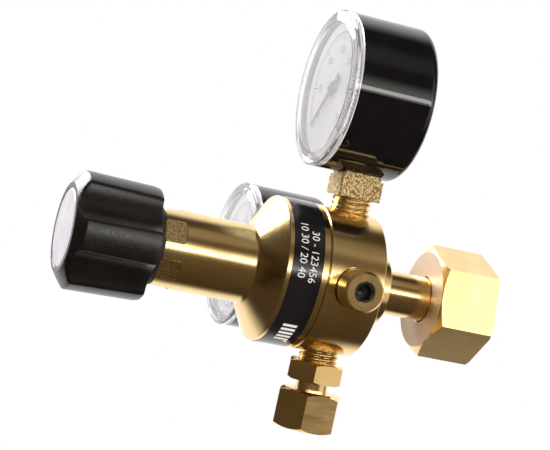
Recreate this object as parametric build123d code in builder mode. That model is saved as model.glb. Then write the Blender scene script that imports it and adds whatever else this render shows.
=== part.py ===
"""Cylinder gas regulator: adjusting knob, spring bonnet, body, two gauges, relief valve, flow outlet, inlet nut.

Millimetres. +X runs along the main axis from the knob to the cylinder nut, +Z points at the top gauge, and the
origin is the centre of the inlet sealing face, inside the nut.
"""

import os
from math import cos, radians, sin, sqrt

from build123d import *

os.makedirs("parts", exist_ok=True)

# Main axis, from the nut back to the knob
PORT_X = -39.0  # both gauges and the outlet stand on this plane
BOSS_END_X = -23.8
BODY_END_X = -31.0
SEAM_X = -50.0  # joint between bonnet and body
FLANGE_X = -63.8  # where the bonnet's cone meets its flange
CONE_X = -70.2  # where the bonnet's tube meets its cone
BONNET_END_X = -100.3
KNOB_REAR_X = -102.6
KNOB_FRONT_X = -129.2

# Body
BODY_R = 23.3
BODY_TAPER = 0.4
BODY_EDGE = 0.5
BOSS_R = 11.4
SPIGOT_R = 21.3
SPIGOT_X = -60.0
CHAMBER_R = 17.5
CHAMBER_FLOOR_X = -53.0
VALVE_BORE_R = 5.5
INLET_THREAD_R = 6.6
PORT_THREAD_R = 5.9  # M12 x 1.5 gauge and outlet ports
PORT_DEPTH = 10.5
PASSAGE_R = 1.4
PASSAGE_REACH = 16.0

# Bonnet
TUBE_R = 12.5
SPRING_ROOM_R = 10.7
END_WALL = 8.3
FLAT_REACH = 11.9  # half of the 23.8 mm across the six wrench flats
FLAT_LENGTH = 6.9
LABEL_START_X = -62.5
LABEL_END_X = -52.3
LABEL_R = 23.45
LABEL_SKIN = 0.4
CONE_ROOT_ROUND = 1.4
FLANGE_ROUND = 0.4

# Knob and screw
KNOB_R = 18.7
KNOB_DRAFT = 0.7
KNOB_FACE_R = 13.96
KNOB_CHAMFER = 3.0
KNOB_ROOM_R = 13.2
KNOB_ROOM_DEPTH = 10.0
CAP_R = 12.4
CAP_THICKNESS = 1.3
RIDGES = 5
SCALLOP_FLOOR_R = 15.04
SCALLOP_R = 10.9
SCREW_R = 4.95
SCREW_HOLE_R = 5.0
SCREW_TIP_X = -91.3
SCREW_HEAD_X = -122.0

# Inlet
STEM_R = 7.18
NIPPLE_BORE_R = 3.0
COLLAR_R = 11.4
COLLAR_BACK_X = -4.0
COLLAR_FRONT_X = -2.0
NUT_ACROSS = 32.0
NUT_BACK_X = -8.0
NUT_LENGTH = 19.5
NUT_TURN = 20.5
NUT_THREAD_R = 12.06  # minor radius of G3/4
NUT_UNDERCUT_R = 13.3

# Relief valve, on the -Y side
RELIEF_X = -40.6
RELIEF_SEAT_Y = -22.2
RELIEF_FACE_Y = -31.5
RELIEF_HEAD_R = 6.45
RELIEF_BORE_R = 3.15
RELIEF_SHANK_R = 4.9
RELIEF_END_Y = -13.0
SOCKET_ACROSS = 5.0
ADJUSTER_DEPTH = 1.0

# Outlet, on the -Z side
OUTLET_HEX_TOP_Z = -26.3
OUTLET_HEX_END_Z = -32.7
OUTLET_HEX_ACROSS = 17.0
OUTLET_HEX_TURN = -10.5
OUTLET_NUT_TOP_Z = -35.7
OUTLET_NUT_END_Z = -48.4
OUTLET_NUT_ACROSS = 19.0
OUTLET_NUT_TURN = -6.0
OUTLET_NUT_FLOOR = 3.5
OUTLET_NECK_R = 5.25
OUTLET_THREAD_R = 7.19  # minor radius of M16 x 1.5
OUTLET_BORE_R = 2.4

# Gauges: two of one kind, each with its own face plane
GAUGE_R = 25.2
GAUGE_REACH = 60.0
GAUGE_FRONT_X = -53.8
CASE_DEPTH = 26.0
CASE_ROUND = 2.6
CASE_WALL = 1.2
LENS_RIM = 2.1
LENS_FACE_R = 21.6
LENS_HEIGHT = 2.8
LENS_WALL = 1.2
DIAL_R = 22.6
DIAL_DEPTH = -1.6
DIAL_THICKNESS = 0.5
STEM_DEPTH = GAUGE_FRONT_X - PORT_X
SQUARE_SIDE = 14.0
SQUARE_TURN = -3.0
SQUARE_TOP = -26.0
SQUARE_END = -32.5
GAUGE_THREAD_END = -41.5
TUBE_ARC_R = 16.5
PINION_TEETH = 8
SECTOR_TEETH_FULL = 72
SECTOR_TEETH_CUT = 9
GEAR_MODULE = 0.3
SECTOR_REACH = GEAR_MODULE * (PINION_TEETH + SECTOR_TEETH_FULL) / 2
GEAR_DEPTH = -6.2
GEAR_THICKNESS = 0.8
SECTOR_LEAN = 17.5  # the sector rests this far to the side it swings from
ARBOR_R = 0.6
POINTER_TURN = 135.0  # the pointer rests this far anticlockwise of straight up


def save(piece, name):
    piece.part.label = name
    export_step(piece.part, f"parts/{name}.step")


def turned(corners, sweep_mode=Mode.ADD, rounds=()):
    """Revolve (x, radius) corners about the main axis; rounds pairs some corners with a fillet radius."""
    with BuildSketch(Plane.XZ) as profile:
        with BuildLine():
            Polyline(*corners, close=True)
        make_face()
        for corner, radius in rounds:
            fillet(profile.vertices().sort_by_distance(corner)[0], radius)
    revolve(profile.sketch, axis=Axis.X, mode=sweep_mode)


def turned_about(face, corners, sweep_mode=Mode.ADD, rounds=()):
    """Revolve (radius, height) corners about the normal of a face plane, with fillets as in turned."""
    side = Plane(origin=face.origin, x_dir=face.x_dir, z_dir=-face.y_dir)
    with BuildSketch(side) as profile:
        with BuildLine():
            Polyline(*corners, close=True)
        make_face()
        for corner, radius in rounds:
            fillet(profile.vertices().sort_by_distance(corner)[0], radius)
    revolve(profile.sketch, axis=Axis(face.origin, face.z_dir), mode=sweep_mode)


def hexagon(plane, across, length, turn=0.0, work_mode=Mode.ADD):
    with BuildSketch(plane) as profile:
        RegularPolygon(across / 2, 6, major_radius=False, rotation=turn)
    extrude(profile.sketch, amount=length, mode=work_mode)


def cylinder(plane, radius, length, work_mode=Mode.ADD):
    with BuildSketch(plane) as profile:
        Circle(radius)
    extrude(profile.sketch, amount=length, mode=work_mode)


def coil(start, direction, height, turns, radius, wire):
    """A spring whose wire centre line starts and ends one wire radius inside its height."""
    with BuildPart() as spring:
        way = Vector(*direction)
        with BuildLine() as path:
            Helix(
                pitch=(height - 2 * wire) / turns,
                height=height - 2 * wire,
                radius=radius,
                center=Vector(*start) + way * wire,
                direction=direction,
            )
        with BuildSketch(Plane(origin=path.line @ 0, z_dir=path.line % 0)):
            Circle(wire)
        sweep(is_frenet=True)
    return spring


def down_plane(x, z):
    """Plane at height z whose normal points down, for the outlet."""
    return Plane(origin=(x, 0, z), x_dir=(1, 0, 0), z_dir=(0, 0, -1))


def front_plane(y):
    """Plane across the relief valve's axis whose normal points at -Y."""
    return Plane(origin=(RELIEF_X, y, 0), x_dir=(1, 0, 0), z_dir=(0, -1, 0))


def port_planes():
    """Outward planes of the two gauge ports at the bottoms of their threads, then the outlet's."""
    depth = BODY_R - PORT_DEPTH
    top = Plane(origin=(PORT_X, 0, depth), x_dir=(1, 0, 0), z_dir=(0, 0, 1))
    back = Plane(origin=(PORT_X, depth, 0), x_dir=(1, 0, 0), z_dir=(0, 1, 0))
    return [top, back, down_plane(PORT_X, -depth)]


def regulator_body():
    end_r = BODY_R - BODY_TAPER
    with BuildPart() as body:
        turned(
            [
                (SPIGOT_X, 0),
                (SPIGOT_X, SPIGOT_R - 0.5),
                (SPIGOT_X + 0.5, SPIGOT_R),
                (SEAM_X + 0.05, SPIGOT_R),
                (SEAM_X + 0.05, BODY_R - 0.35),
                (SEAM_X + 0.4, BODY_R),
                (BODY_END_X, end_r),
                (BODY_END_X, BOSS_R + 1.0),
                (BOSS_END_X - 3.0, BOSS_R + 0.5),
                (BOSS_END_X, BOSS_R),
                (BOSS_END_X, 0),
            ],
            rounds=[
                ((BODY_END_X, end_r), BODY_EDGE),
                ((BODY_END_X, BOSS_R + 1.0), 1.0),
                ((BOSS_END_X, BOSS_R), 0.6),
            ],
        )
        cylinder(Plane.YZ.offset(SPIGOT_X), CHAMBER_R, CHAMBER_FLOOR_X - SPIGOT_X, Mode.SUBTRACT)
        cylinder(Plane.YZ.offset(CHAMBER_FLOOR_X), 6.0, 10.0, Mode.SUBTRACT)
        cylinder(Plane.YZ.offset(CHAMBER_FLOOR_X + 10.0), VALVE_BORE_R, 10.0, Mode.SUBTRACT)
        cylinder(Plane.YZ.offset(CHAMBER_FLOOR_X + 20.0), INLET_THREAD_R, 10.0, Mode.SUBTRACT)
        for port in port_planes():
            cylinder(port, PORT_THREAD_R + 0.05, PORT_DEPTH + 1.0, Mode.SUBTRACT)
        cylinder(Plane(origin=(PORT_X, 0, 0)), 1.0, BODY_R - PORT_DEPTH + 0.5, Mode.SUBTRACT)
        cylinder(front_plane(RELIEF_END_Y), RELIEF_SHANK_R + 0.05, 15.0, Mode.SUBTRACT)
        cylinder(front_plane(RELIEF_SEAT_Y), RELIEF_HEAD_R + 0.35, 5.0, Mode.SUBTRACT)
        with BuildSketch(Plane.YZ.offset(CHAMBER_FLOOR_X)):
            with Locations((PASSAGE_REACH, 0), (0, -PASSAGE_REACH), (-PASSAGE_REACH, 0)):
                Circle(PASSAGE_R)
        extrude(amount=PORT_X - CHAMBER_FLOOR_X, mode=Mode.SUBTRACT)
    save(body, "regulator_body")


def bonnet():
    skirt_r = BODY_R
    with BuildPart() as cover:
        turned(
            [
                (BONNET_END_X, SCREW_HOLE_R),
                (BONNET_END_X, TUBE_R - 0.4),
                (BONNET_END_X + 0.4, TUBE_R),
                (CONE_X, TUBE_R),
                (FLANGE_X, skirt_r),
                (LABEL_START_X, skirt_r),
                (LABEL_START_X, LABEL_R - LABEL_SKIN - 0.02),
                (LABEL_END_X, LABEL_R - LABEL_SKIN - 0.02),
                (LABEL_END_X, skirt_r),
                (SEAM_X - 0.45, skirt_r),
                (SEAM_X - 0.05, skirt_r - 0.4),
                (SEAM_X - 0.05, SPIGOT_R + 0.05),
                (SPIGOT_X - 1.55, SPIGOT_R + 0.05),
                (SPIGOT_X - 1.55, 18.5),
                (FLANGE_X - 0.2, 18.5),
                (CONE_X + 1.6, SPRING_ROOM_R),
                (BONNET_END_X + END_WALL, SPRING_ROOM_R),
                (BONNET_END_X + END_WALL, SCREW_HOLE_R),
            ],
            rounds=[((CONE_X, TUBE_R), CONE_ROOT_ROUND), ((FLANGE_X, skirt_r), FLANGE_ROUND)],
        )
        for step in range(6):
            lean = radians(30 + 60 * step)
            flat = Plane(origin=(BONNET_END_X, 0, 0), x_dir=(1, 0, 0), z_dir=(0, cos(lean), sin(lean)))
            with BuildSketch(flat.offset(FLAT_REACH)):
                with Locations((FLAT_LENGTH / 2 - 2, 0)):
                    RectangleRounded(FLAT_LENGTH + 4, 10, 3.2)
            extrude(amount=3, mode=Mode.SUBTRACT)
        vent = Plane(origin=(CONE_X - 8, 0, 0), x_dir=(1, 0, 0), z_dir=(0, 1, -1))
        cylinder(vent, 0.9, 20, Mode.SUBTRACT)
    save(cover, "bonnet")


def label_band():
    with BuildPart() as band:
        turned(
            [
                (LABEL_START_X + 0.03, LABEL_R - LABEL_SKIN),
                (LABEL_START_X + 0.03, LABEL_R),
                (LABEL_END_X - 0.03, LABEL_R),
                (LABEL_END_X - 0.03, LABEL_R - LABEL_SKIN),
            ]
        )
    save(band, "label_band")


def bonnet_dust_ring():
    with BuildPart() as ring:
        turned(
            [
                (KNOB_REAR_X - 1.0, SCREW_HOLE_R + 0.4),
                (KNOB_REAR_X - 1.0, TUBE_R - 1.2),
                (KNOB_REAR_X - 0.2, TUBE_R - 0.1),
                (BONNET_END_X - 0.02, TUBE_R - 0.1),
                (BONNET_END_X - 0.02, SCREW_HOLE_R + 0.4),
            ]
        )
    save(ring, "bonnet_dust_ring")


def knob():
    with BuildPart() as grip:
        turned(
            [
                (KNOB_FRONT_X, 0),
                (KNOB_FRONT_X, KNOB_FACE_R),
                (KNOB_FRONT_X + KNOB_CHAMFER, KNOB_R),
                (KNOB_REAR_X - 0.6, KNOB_R - KNOB_DRAFT),
                (KNOB_REAR_X, KNOB_R - KNOB_DRAFT - 0.6),
                (KNOB_REAR_X, 0),
            ]
        )
        with BuildSketch(Plane.YZ.offset(KNOB_FRONT_X)):
            with PolarLocations(SCALLOP_FLOOR_R + SCALLOP_R, RIDGES, start_angle=0):
                Circle(SCALLOP_R)
        extrude(amount=KNOB_REAR_X - KNOB_FRONT_X, mode=Mode.SUBTRACT)
        cylinder(Plane.YZ.offset(KNOB_FRONT_X), CAP_R + 0.05, CAP_THICKNESS + 0.05, Mode.SUBTRACT)
        cylinder(Plane.YZ.offset(KNOB_REAR_X - KNOB_ROOM_DEPTH), KNOB_ROOM_R, 12, Mode.SUBTRACT)
        cylinder(Plane.YZ.offset(SCREW_HEAD_X - 0.1), 7.0, 12, Mode.SUBTRACT)
        cylinder(Plane.YZ.offset(KNOB_FRONT_X), 2.1, 12, Mode.SUBTRACT)
        cylinder(Plane.YZ.offset(KNOB_FRONT_X), 4.2, 4.8, Mode.SUBTRACT)
    save(grip, "knob")


def knob_cap():
    with BuildPart() as cap:
        turned(
            [
                (KNOB_FRONT_X, 0),
                (KNOB_FRONT_X, CAP_R - 0.5),
                (KNOB_FRONT_X + 0.35, CAP_R),
                (KNOB_FRONT_X + CAP_THICKNESS, CAP_R),
                (KNOB_FRONT_X + CAP_THICKNESS, 0),
            ]
        )
    save(cap, "knob_cap")


def knob_insert():
    with BuildPart() as insert:
        with BuildSketch(Plane.YZ.offset(SCREW_HEAD_X)):
            RegularPolygon(6.95, 18)
            Circle(SCREW_R + 0.02, mode=Mode.SUBTRACT)
        extrude(amount=9.8)
    save(insert, "knob_insert")


def knob_screw():
    with BuildPart() as screw:
        turned(
            [
                (SCREW_HEAD_X - 5.3, 0),
                (SCREW_HEAD_X - 5.3, 3.0),
                (SCREW_HEAD_X - 4.6, 3.7),
                (SCREW_HEAD_X - 2.5, 3.7),
                (SCREW_HEAD_X - 2.5, 1.95),
                (SCREW_HEAD_X + 8.0, 1.95),
                (SCREW_HEAD_X + 8.0, 0),
            ]
        )
        hexagon(Plane.YZ.offset(SCREW_HEAD_X - 5.3), 2.5, 1.6, 0, Mode.SUBTRACT)
    save(screw, "knob_screw")


def adjusting_screw():
    with BuildPart() as screw:
        turned(
            [
                (SCREW_HEAD_X + 0.02, 2.0),
                (SCREW_HEAD_X + 0.02, SCREW_R),
                (SCREW_TIP_X - 1.0, SCREW_R),
                (SCREW_TIP_X, SCREW_R - 1.0),
                (SCREW_TIP_X, 0),
                (SCREW_HEAD_X + 9.0, 0),
                (SCREW_HEAD_X + 9.0, 2.0),
            ]
        )
    save(screw, "adjusting_screw")


def thrust_ball():
    with BuildPart() as ball:
        with Locations((SCREW_TIP_X + 2.02, 0, 0)):
            Sphere(2.0)
    save(ball, "thrust_ball")


def upper_spring_button():
    seat_x = SCREW_TIP_X + 5.5
    with BuildPart() as button:
        turned(
            [
                (seat_x - 2.4, 0),
                (seat_x - 2.4, 8.6),
                (seat_x - 1.2, 9.8),
                (seat_x, 9.8),
                (seat_x, 5.6),
                (seat_x + 3.0, 4.9),
                (seat_x + 3.0, 0),
            ]
        )
        cylinder(Plane.YZ.offset(seat_x - 2.5), 2.1, 1.1, Mode.SUBTRACT)
    save(button, "upper_spring_button")


def main_spring():
    start_x = SCREW_TIP_X + 5.6
    save(coil((start_x, 0, 0), (1, 0, 0), -63.3 - start_x, 5.5, 7.7, 1.35), "main_spring")


def lower_spring_plate():
    with BuildPart() as plate:
        turned(
            [
                (-65.6, 2.05),
                (-65.6, 5.2),
                (-63.2, 5.8),
                (-63.2, 9.9),
                (SPIGOT_X - 0.75, 9.9),
                (SPIGOT_X - 0.75, 2.05),
            ]
        )
    save(plate, "lower_spring_plate")


def slip_ring():
    with BuildPart() as ring:
        turned(
            [
                (SPIGOT_X - 1.5, 18.6),
                (SPIGOT_X - 1.5, SPIGOT_R - 0.1),
                (SPIGOT_X - 0.7, SPIGOT_R - 0.1),
                (SPIGOT_X - 0.7, 18.6),
            ]
        )
    save(ring, "slip_ring")


def diaphragm():
    """Rubber disc with one rolled convolution between its clamped rim and its plates."""
    with BuildPart() as disc:
        turned(
            [
                (SPIGOT_X - 0.65, 2.1),
                (SPIGOT_X - 0.65, 13.0),
                (SPIGOT_X + 1.0, 14.4),
                (SPIGOT_X + 1.0, 15.6),
                (SPIGOT_X - 0.65, 17.0),
                (SPIGOT_X - 0.65, SPIGOT_R - 0.2),
                (SPIGOT_X - 0.05, SPIGOT_R - 0.2),
                (SPIGOT_X - 0.05, 17.3),
                (SPIGOT_X + 1.6, 15.9),
                (SPIGOT_X + 1.6, 14.1),
                (SPIGOT_X - 0.05, 12.7),
                (SPIGOT_X - 0.05, 2.1),
            ]
        )
    save(disc, "diaphragm")


def diaphragm_plate():
    """Backing disc on the gas side, whose stud passes through the rubber."""
    with BuildPart() as plate:
        turned(
            [
                (-66.8, 0),
                (-66.8, 1.98),
                (SPIGOT_X + 0.05, 1.98),
                (SPIGOT_X + 0.05, 12.2),
                (SPIGOT_X + 1.3, 12.2),
                (SPIGOT_X + 1.3, 4.0),
                (SPIGOT_X + 3.5, 3.2),
                (SPIGOT_X + 3.5, 1.02),
                (SPIGOT_X + 0.9, 1.02),
                (SPIGOT_X + 0.9, 0),
            ]
        )
    save(plate, "diaphragm_plate")


def valve_pin():
    with BuildPart() as pin:
        cylinder(Plane.YZ.offset(SPIGOT_X + 0.95), 1.0, -43.1 - SPIGOT_X - 0.95)
    save(pin, "valve_pin")


def valve_seat():
    with BuildPart() as seat:
        turned(
            [
                (-47.5, 1.6),
                (-47.5, 5.95),
                (-43.05, 5.95),
                (-43.05, 3.2),
                (-42.5, 2.2),
                (-42.5, 1.6),
            ]
        )
    save(seat, "valve_seat")


def poppet_seal():
    with BuildPart() as seal:
        cylinder(Plane.YZ.offset(-42.2), 2.9, 1.0)
    save(seal, "poppet_seal")


def valve_poppet():
    with BuildPart() as poppet:
        turned(
            [
                (-42.3, 2.95),
                (-42.3, 3.8),
                (-38.5, 3.8),
                (-38.5, 2.0),
                (-34.6, 2.0),
                (-34.6, 0),
                (-41.18, 0),
                (-41.18, 2.95),
            ]
        )
    save(poppet, "valve_poppet")


def valve_spring():
    save(coil((-38.4, 0, 0), (1, 0, 0), 4.9, 4, 2.85, 0.3), "valve_spring")


def valve_retainer():
    with BuildPart() as ring:
        with BuildSketch(Plane.YZ.offset(-33.4)):
            Circle(VALVE_BORE_R - 0.05)
            Circle(1.6, mode=Mode.SUBTRACT)
            with PolarLocations(3.9, 3, start_angle=30):
                Circle(0.8, mode=Mode.SUBTRACT)
        extrude(amount=0.38)
    save(ring, "valve_retainer")


def inlet_nipple():
    with BuildPart() as nipple:
        turned(
            [
                (-32.9, NIPPLE_BORE_R),
                (-32.9, INLET_THREAD_R - 0.05),
                (BOSS_END_X + 0.05, INLET_THREAD_R - 0.05),
                (BOSS_END_X + 0.05, STEM_R),
                (COLLAR_BACK_X, STEM_R),
                (COLLAR_BACK_X, COLLAR_R - 0.4),
                (COLLAR_BACK_X + 0.4, COLLAR_R),
                (COLLAR_FRONT_X, COLLAR_R),
                (COLLAR_FRONT_X, 4.9),
                (-0.2, 4.9),
                (-0.2, 3.95),
                (-4.2, 3.95),
                (-4.2, NIPPLE_BORE_R),
            ]
        )
    save(nipple, "inlet_nipple")


def inlet_filter():
    with BuildPart() as plug:
        cylinder(Plane.YZ.offset(-4.15), 3.9, 3.4)
        fillet(plug.edges().group_by(Axis.X)[-1], 0.8)
    save(plug, "inlet_filter")


def inlet_seal():
    with BuildPart() as washer:
        with BuildSketch(Plane.YZ.offset(COLLAR_FRONT_X + 0.03)):
            Circle(10.8)
            Circle(4.95, mode=Mode.SUBTRACT)
        extrude(amount=-COLLAR_FRONT_X - 0.03)
    save(washer, "inlet_seal")


def nut_slip_washer():
    with BuildPart() as washer:
        with BuildSketch(Plane.YZ.offset(-4.85)):
            Circle(10.9)
            Circle(STEM_R + 0.08, mode=Mode.SUBTRACT)
        extrude(amount=0.6)
    save(washer, "nut_slip_washer")


def union_nut():
    corner_r = NUT_ACROSS / sqrt(3)
    mouth_x = NUT_BACK_X + NUT_LENGTH
    with BuildPart() as nut:
        hexagon(Plane.YZ.offset(NUT_BACK_X), NUT_ACROSS, NUT_LENGTH, NUT_TURN)
        turned(
            [
                (NUT_BACK_X, 0),
                (NUT_BACK_X, 15.7),
                (NUT_BACK_X + 1.6, corner_r + 0.02),
                (mouth_x - 0.5, corner_r + 0.02),
                (mouth_x, corner_r - 0.9),
                (mouth_x, 0),
            ],
            Mode.INTERSECT,
        )
        turned(
            [
                (NUT_BACK_X, 0),
                (NUT_BACK_X, STEM_R + 0.55),
                (NUT_BACK_X + 0.3, STEM_R + 0.25),
                (-5.0, STEM_R + 0.25),
                (-5.0, NUT_UNDERCUT_R),
                (-1.24, NUT_UNDERCUT_R),
                (0, NUT_THREAD_R),
                (mouth_x - 1.0, NUT_THREAD_R),
                (mouth_x, NUT_THREAD_R + 1.0),
                (mouth_x, 0),
            ],
            Mode.SUBTRACT,
        )
    save(nut, "union_nut")


def relief_housing():
    with BuildPart() as housing:
        head = front_plane(RELIEF_SEAT_Y - 0.5)
        height = RELIEF_SEAT_Y - 0.5 - RELIEF_FACE_Y
        shank = RELIEF_END_Y - RELIEF_SEAT_Y + 0.5
        turned_about(
            head,
            [
                (RELIEF_BORE_R, 5.0 - shank + 0.0),
                (RELIEF_BORE_R, height - 0.3),
                (RELIEF_BORE_R + 0.3, height),
                (RELIEF_HEAD_R - 0.7, height),
                (RELIEF_HEAD_R, height - 0.7),
                (RELIEF_HEAD_R, 0.7),
                (RELIEF_HEAD_R - 0.5, 0.4),
                (RELIEF_HEAD_R - 0.5, 0),
                (RELIEF_SHANK_R, 0),
                (RELIEF_SHANK_R, 0.5 - shank),
                (RELIEF_SHANK_R - 0.5, -shank + 0.05),
                (1.5, -shank + 0.05),
                (1.5, 4.2 - shank),
                (2.2, 5.0 - shank),
            ],
        )
    save(housing, "relief_housing")


def relief_seal():
    with BuildPart() as washer:
        with BuildSketch(front_plane(RELIEF_SEAT_Y - 0.03)):
            Circle(RELIEF_HEAD_R - 0.45)
            Circle(RELIEF_SHANK_R + 0.05, mode=Mode.SUBTRACT)
        extrude(amount=0.44)
    save(washer, "relief_seal")


def relief_adjuster():
    top = RELIEF_FACE_Y + ADJUSTER_DEPTH
    with BuildPart() as screw:
        cylinder(front_plane(top + 4.8), RELIEF_BORE_R - 0.05, 4.8)
        hexagon(front_plane(top + 3.8), SOCKET_ACROSS, 3.8, 15, Mode.SUBTRACT)
        cylinder(front_plane(top + 6.0), 1.2, 4.0, Mode.SUBTRACT)
    save(screw, "relief_adjuster")


def relief_spring():
    start = RELIEF_END_Y - 7.45
    height = start - (RELIEF_FACE_Y + 5.85)
    save(coil((RELIEF_X, start, 0), (0, -1, 0), height, 4, 2.3, 0.35), "relief_spring")


def relief_poppet():
    with BuildPart() as poppet:
        turned_about(
            front_plane(RELIEF_END_Y - 5.3),
            [
                (0, 0),
                (2.4, 0),
                (3.1, 0.7),
                (3.1, 2.1),
                (1.7, 2.1),
                (1.7, 4.6),
                (0, 4.6),
            ],
        )
    save(poppet, "relief_poppet")


def outlet_union():
    seat_z = OUTLET_HEX_TOP_Z
    top_z = -(BODY_R - PORT_DEPTH) - 0.1
    with BuildPart() as union:
        cylinder(down_plane(PORT_X, top_z), PORT_THREAD_R, top_z - seat_z)
        hexagon(down_plane(PORT_X, seat_z), OUTLET_HEX_ACROSS, seat_z - OUTLET_HEX_END_Z, OUTLET_HEX_TURN)
        corner_r = OUTLET_HEX_ACROSS / sqrt(3)
        turned_about(
            down_plane(PORT_X, top_z),
            [
                (0, 0),
                (PORT_THREAD_R - 0.6, 0),
                (PORT_THREAD_R, 0.6),
                (PORT_THREAD_R, top_z - seat_z),
                (corner_r - 1.5, top_z - seat_z),
                (corner_r, top_z - seat_z + 0.8),
                (corner_r, top_z - OUTLET_HEX_END_Z - 0.6),
                (corner_r - 1.1, top_z - OUTLET_HEX_END_Z),
                (0, top_z - OUTLET_HEX_END_Z),
            ],
            Mode.INTERSECT,
        )
        cylinder(down_plane(PORT_X, top_z), OUTLET_BORE_R, top_z - OUTLET_HEX_END_Z, Mode.SUBTRACT)
        cylinder(down_plane(PORT_X, OUTLET_HEX_END_Z + 5.0), 4.3, 5.0, Mode.SUBTRACT)
    save(union, "outlet_union")


def flow_orifice():
    with BuildPart() as jet:
        cylinder(down_plane(PORT_X, OUTLET_HEX_END_Z + 8.5), OUTLET_BORE_R - 0.03, 3.0)
        cylinder(down_plane(PORT_X, OUTLET_HEX_END_Z + 8.5), 0.4, 3.0, Mode.SUBTRACT)
    save(jet, "flow_orifice")


def outlet_nipple():
    """Neck that holds the outlet nut: its collar sits inside the nut's floor."""
    start_z = OUTLET_HEX_END_Z + 4.95
    collar_z = OUTLET_NUT_TOP_Z - OUTLET_NUT_FLOOR - 0.3
    with BuildPart() as nipple:
        turned_about(
            down_plane(PORT_X, start_z),
            [
                (OUTLET_BORE_R, 0),
                (4.25, 0),
                (4.25, start_z - OUTLET_HEX_END_Z + 0.05),
                (OUTLET_NECK_R, start_z - OUTLET_HEX_END_Z + 0.05),
                (OUTLET_NECK_R, start_z - collar_z),
                (6.7, start_z - collar_z),
                (6.7, start_z - collar_z + 1.4),
                (4.4, start_z - collar_z + 2.2),
                (OUTLET_BORE_R, start_z - collar_z + 2.2),
            ],
        )
    save(nipple, "outlet_nipple")


def outlet_nut():
    length = OUTLET_NUT_TOP_Z - OUTLET_NUT_END_Z
    corner_r = OUTLET_NUT_ACROSS / sqrt(3)
    top = down_plane(PORT_X, OUTLET_NUT_TOP_Z)
    with BuildPart() as nut:
        hexagon(top, OUTLET_NUT_ACROSS, length, OUTLET_NUT_TURN)
        turned_about(
            top,
            [
                (0, 0),
                (8.9, 0),
                (corner_r + 0.02, 1.3),
                (corner_r + 0.02, length - 0.95),
                (9.4, length),
                (0, length),
            ],
            Mode.INTERSECT,
        )
        turned_about(
            top,
            [
                (0, 0),
                (OUTLET_NECK_R + 0.07, 0),
                (OUTLET_NECK_R + 0.07, OUTLET_NUT_FLOOR),
                (OUTLET_THREAD_R + 0.5, OUTLET_NUT_FLOOR),
                (OUTLET_THREAD_R + 0.5, OUTLET_NUT_FLOOR + 2.2),
                (OUTLET_THREAD_R, OUTLET_NUT_FLOOR + 2.7),
                (OUTLET_THREAD_R, length - 0.8),
                (OUTLET_THREAD_R + 0.8, length),
                (0, length),
            ],
            Mode.SUBTRACT,
        )
    save(nut, "outlet_nut")


def gauge_face(up):
    """Face plane of a gauge: origin at the case's rim, normal towards the reader, y away from the body."""
    reach = Vector(*up) * GAUGE_REACH
    right = Vector(*up).cross(Vector(-1, 0, 0))
    return Plane(origin=Vector(GAUGE_FRONT_X, 0, 0) + reach, x_dir=right, z_dir=(-1, 0, 0))


def gauge_stem_plane(face, up_distance):
    """Plane across the gauge's stem, at a height on its dial, whose normal points up the dial."""
    origin = face.origin + face.y_dir * up_distance + face.z_dir * STEM_DEPTH
    return Plane(origin=origin, x_dir=face.x_dir, z_dir=face.y_dir)


def gauge_case(face, side):
    with BuildPart() as case:
        turned_about(
            face,
            [
                (0, -CASE_DEPTH),
                (GAUGE_R, -CASE_DEPTH),
                (GAUGE_R, -0.05),
                (GAUGE_R - CASE_WALL, -0.05),
                (GAUGE_R - CASE_WALL, -CASE_DEPTH + 3.4),
                (GAUGE_R - 3.4, -CASE_DEPTH + 1.5),
                (0, -CASE_DEPTH + 1.5),
            ],
            rounds=[((GAUGE_R, -CASE_DEPTH), CASE_ROUND)],
        )
        with BuildSketch(gauge_stem_plane(face, SQUARE_TOP)):
            Rectangle(12.2, 12.2)
        extrude(amount=6, mode=Mode.SUBTRACT)
        cylinder(face.offset(-CASE_DEPTH - 0.5), 9.0, 2.5, Mode.SUBTRACT)
    save(case, f"{side}_gauge_case")


def gauge_blowout_disc(face, side):
    with BuildPart() as disc:
        turned_about(
            face,
            [
                (0, -CASE_DEPTH - 0.4),
                (9.6, -CASE_DEPTH - 0.4),
                (9.9, -CASE_DEPTH - 0.02),
                (8.95, -CASE_DEPTH - 0.02),
                (8.95, -CASE_DEPTH + 1.5),
                (0, -CASE_DEPTH + 1.5),
            ],
        )
    save(disc, f"{side}_gauge_blowout_disc")


def gauge_lens(face, side):
    """Snap-in window: stepped skirt inside the case, sloping rim, flat face, one snap tab."""
    skirt_r = GAUGE_R - CASE_WALL - 0.05
    with BuildPart() as lens:
        turned_about(
            face,
            [
                (0, LENS_HEIGHT),
                (LENS_FACE_R, LENS_HEIGHT),
                (GAUGE_R - 0.5, LENS_RIM + 0.15),
                (GAUGE_R, LENS_RIM - 0.3),
                (GAUGE_R, 0),
                (skirt_r, 0),
                (skirt_r, -2.4),
                (skirt_r - 0.9, -2.4),
                (skirt_r - 0.9, LENS_RIM - LENS_WALL),
                (LENS_FACE_R - 0.6, LENS_HEIGHT - LENS_WALL),
                (0, LENS_HEIGHT - LENS_WALL),
            ],
        )
    save(lens, f"{side}_gauge_lens")


def gauge_dial(face, side):
    with BuildPart() as dial:
        with BuildSketch(face.offset(DIAL_DEPTH - DIAL_THICKNESS)):
            Circle(DIAL_R)
            Circle(1.2, mode=Mode.SUBTRACT)
        extrude(amount=DIAL_THICKNESS)
    save(dial, f"{side}_gauge_dial")


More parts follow.
